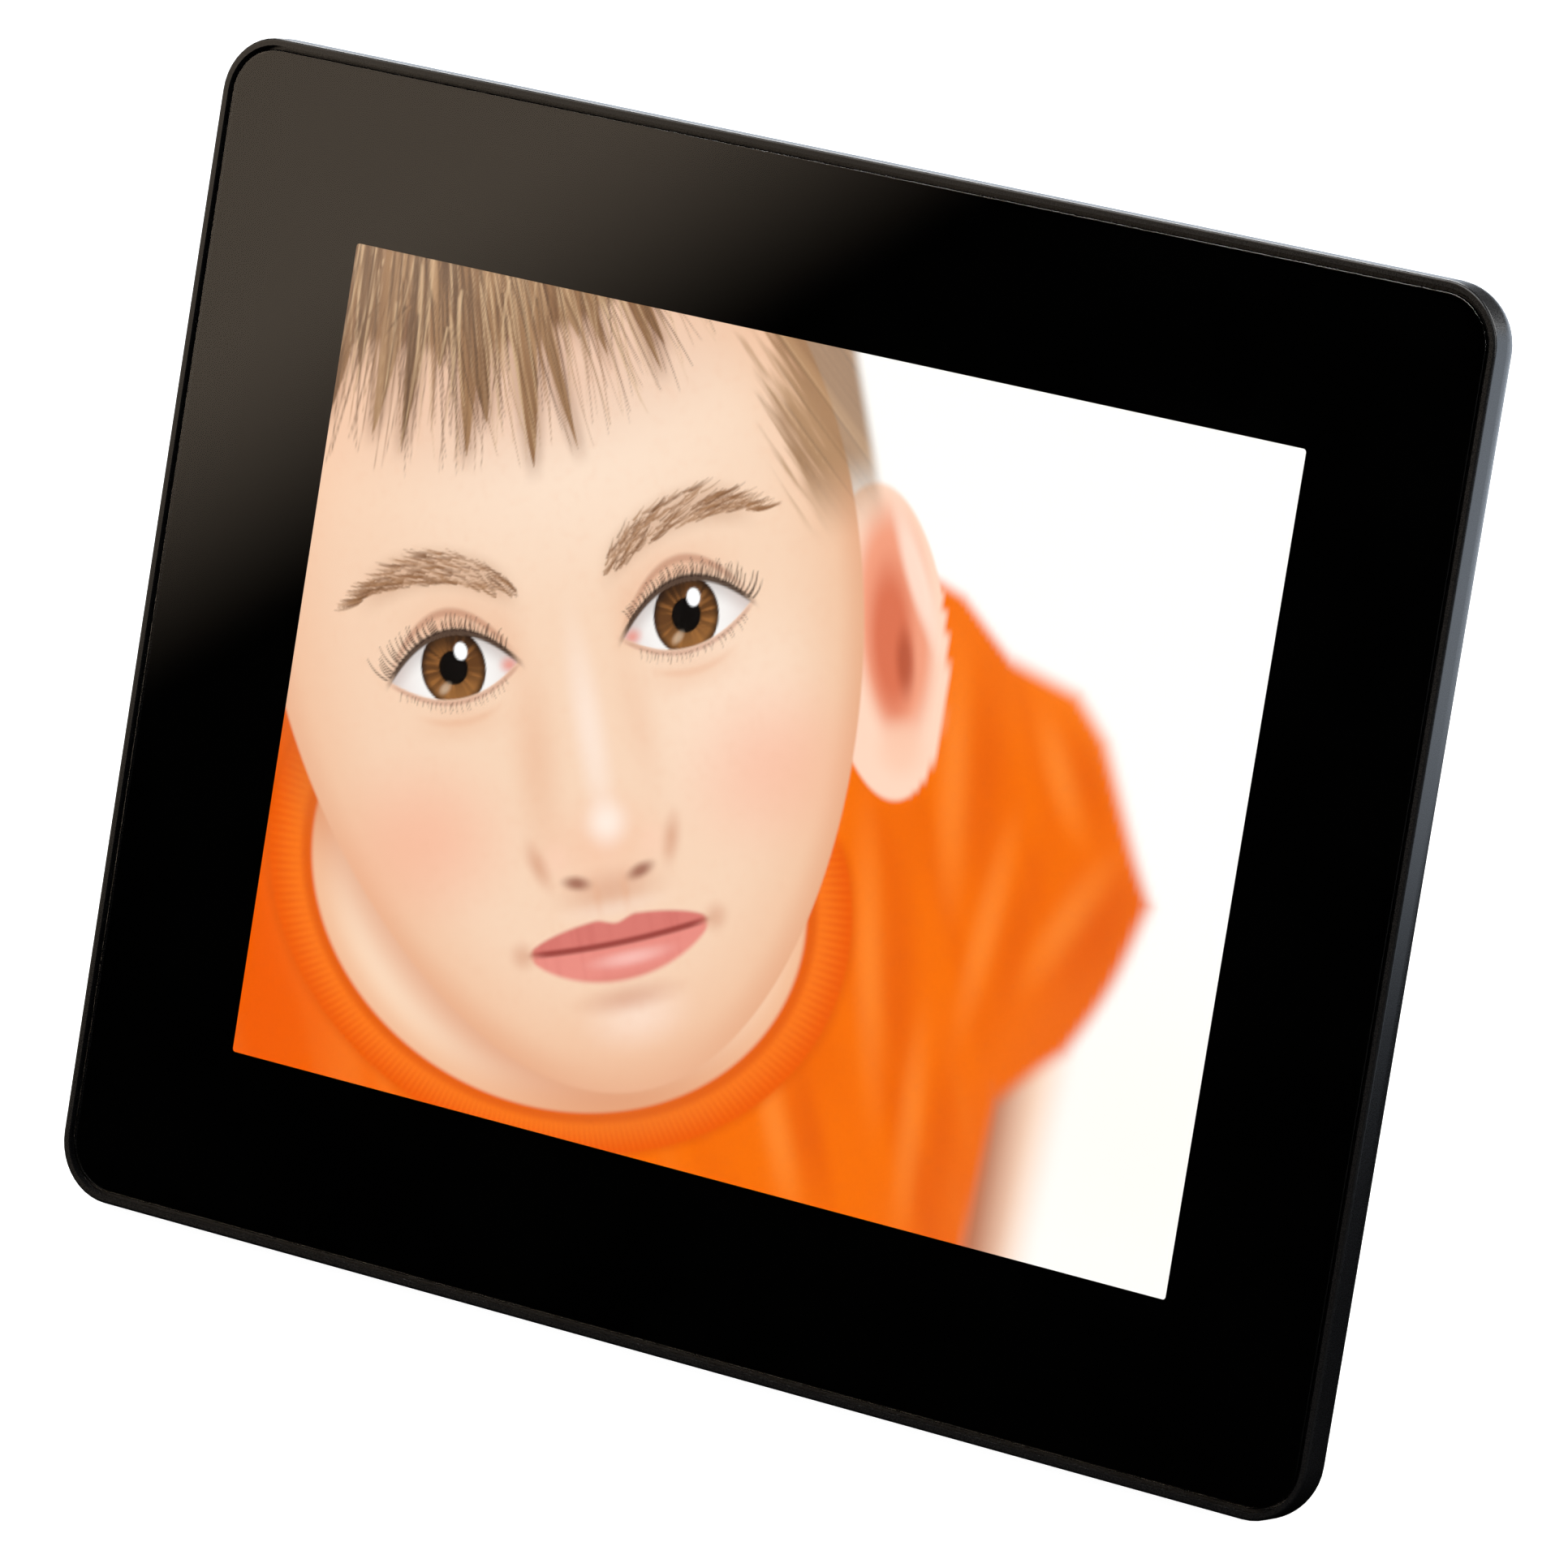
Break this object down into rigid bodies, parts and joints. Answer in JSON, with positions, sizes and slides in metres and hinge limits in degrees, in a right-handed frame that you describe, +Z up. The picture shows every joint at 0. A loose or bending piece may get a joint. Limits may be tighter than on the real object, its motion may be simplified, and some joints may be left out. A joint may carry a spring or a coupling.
{
  "type": "digital photo frame",
  "caption": "Desktop digital photo frame with a gloss black front panel in a slim rim, rear buttons, sockets and a fold-out leg.",
  "frame": {"origin": "on the desk, below the centre of the object's box at rest with its leg open", "axes": "+X to the right of a viewer facing the picture, +Y from the picture to the back, +Z up; the front faces -Y and leans back 16.5 degrees"},
  "size_m": [0.215, 0.0727, 0.1692],
  "materials": {
    "rim_plastic": "fine textured charcoal",
    "panel_gloss": "clear gloss acrylic",
    "black_ink": "screen print",
    "foam_tape": "foam",
    "sheet_steel": "plated sheet",
    "lcd_glass": "clear",
    "polarizer": "film",
    "white_plastic": "moulded",
    "white_film": "film",
    "light_guide": "clear acrylic",
    "flex_film": "polyimide",
    "circuit_board": "solder mask",
    "chip_epoxy": "moulded",
    "insulator": "film",
    "connector_white": "moulded",
    "connector_steel": "tinned",
    "connector_black": "moulded",
    "cover_plastic": "spark textured black",
    "button_plastic": "satin black",
    "screw_steel": "zinc plated",
    "screw_black": "black oxide",
    "pin_steel": "ground",
    "foot_rubber": "matt"
  },
  "bodies": {
    "frame": {"front_bezel": "rim_plastic", "front_panel": "panel_gloss", "black_print": "black_ink", "panel_tape": "foam_tape", "window_gasket": "foam_tape", "lcd_front_frame": "sheet_steel", "front_polarizer": "polarizer", "lcd_cell": "lcd_glass", "rear_polarizer": "polarizer", "lcd_mould_frame": "white_plastic", "diffuser_sheet": "white_film", "light_guide": "light_guide", "led_strip": "connector_white", "reflector_sheet": "white_film", "lcd_back_tray": "sheet_steel", "lcd_driver_board": "circuit_board", "lcd_ribbon": "flex_film", "backlight_flex": "flex_film", "insulation_sheet": "insulator", "lcd_clip_right_top": "sheet_steel", "lcd_clip_right_bottom": "sheet_steel", "lcd_clip_left_top": "sheet_steel", "lcd_clip_left_bottom": "sheet_steel", "clip_screws": "screw_steel", "main_board": "circuit_board", "board_screws": "screw_steel", "processor_chip": "chip_epoxy", "memory_chips": "chip_epoxy", "flash_chip": "chip_epoxy", "power_inductor": "chip_epoxy", "power_capacitors": "connector_steel", "clock_crystal": "connector_steel", "ribbon_connector": "connector_white", "card_socket": "connector_steel", "usb_socket": "connector_steel", "dc_jack": "connector_black", "button_switches": "connector_black", "slide_switch": "connector_steel", "rear_cover": "cover_plastic", "cover_screws": "screw_black", "hinge_pin": "pin_steel", "hinge_washers": "pin_steel", "foot_left": "foot_rubber", "foot_right": "foot_rubber"},
    "leg": {"stand_leg": "cover_plastic", "leg_foot": "foot_rubber"},
    "button_power_cap": {"button_power": "button_plastic"},
    "button_menu_cap": {"button_menu": "button_plastic"},
    "button_back_cap": {"button_back": "button_plastic"},
    "button_next_cap": {"button_next": "button_plastic"},
    "button_enter_cap": {"button_enter": "button_plastic"},
    "slider_knob": {"power_slider": "button_plastic"}
  },
  "joints": [
    {"name": "stand_hinge", "type": "hinge", "parent": "frame", "child": "leg", "pos_m": [0, 0.0043, 0.08172], "axis": [1, 0, 0], "range_deg": [-36, 0]},
    {"name": "button_power_press", "type": "slide", "parent": "frame", "child": "button_power_cap", "axis": [0, -0.9588, 0.284], "range_m": [0, 0.0004], "stiffness_N_per_m": 400, "springref_m": -0.0002},
    {"name": "button_menu_press", "type": "slide", "parent": "frame", "child": "button_menu_cap", "axis": [0, -0.9588, 0.284], "range_m": [0, 0.0004], "stiffness_N_per_m": 400, "springref_m": -0.0002},
    {"name": "button_back_press", "type": "slide", "parent": "frame", "child": "button_back_cap", "axis": [0, -0.9588, 0.284], "range_m": [0, 0.0004], "stiffness_N_per_m": 400, "springref_m": -0.0002},
    {"name": "button_next_press", "type": "slide", "parent": "frame", "child": "button_next_cap", "axis": [0, -0.9588, 0.284], "range_m": [0, 0.0004], "stiffness_N_per_m": 400, "springref_m": -0.0002},
    {"name": "button_enter_press", "type": "slide", "parent": "frame", "child": "button_enter_cap", "axis": [0, -0.9588, 0.284], "range_m": [0, 0.0004], "stiffness_N_per_m": 400, "springref_m": -0.0002},
    {"name": "power_slide", "type": "slide", "parent": "frame", "child": "slider_knob", "axis": [1, 0, 0], "range_m": [0, 0.0025]}
  ]
}
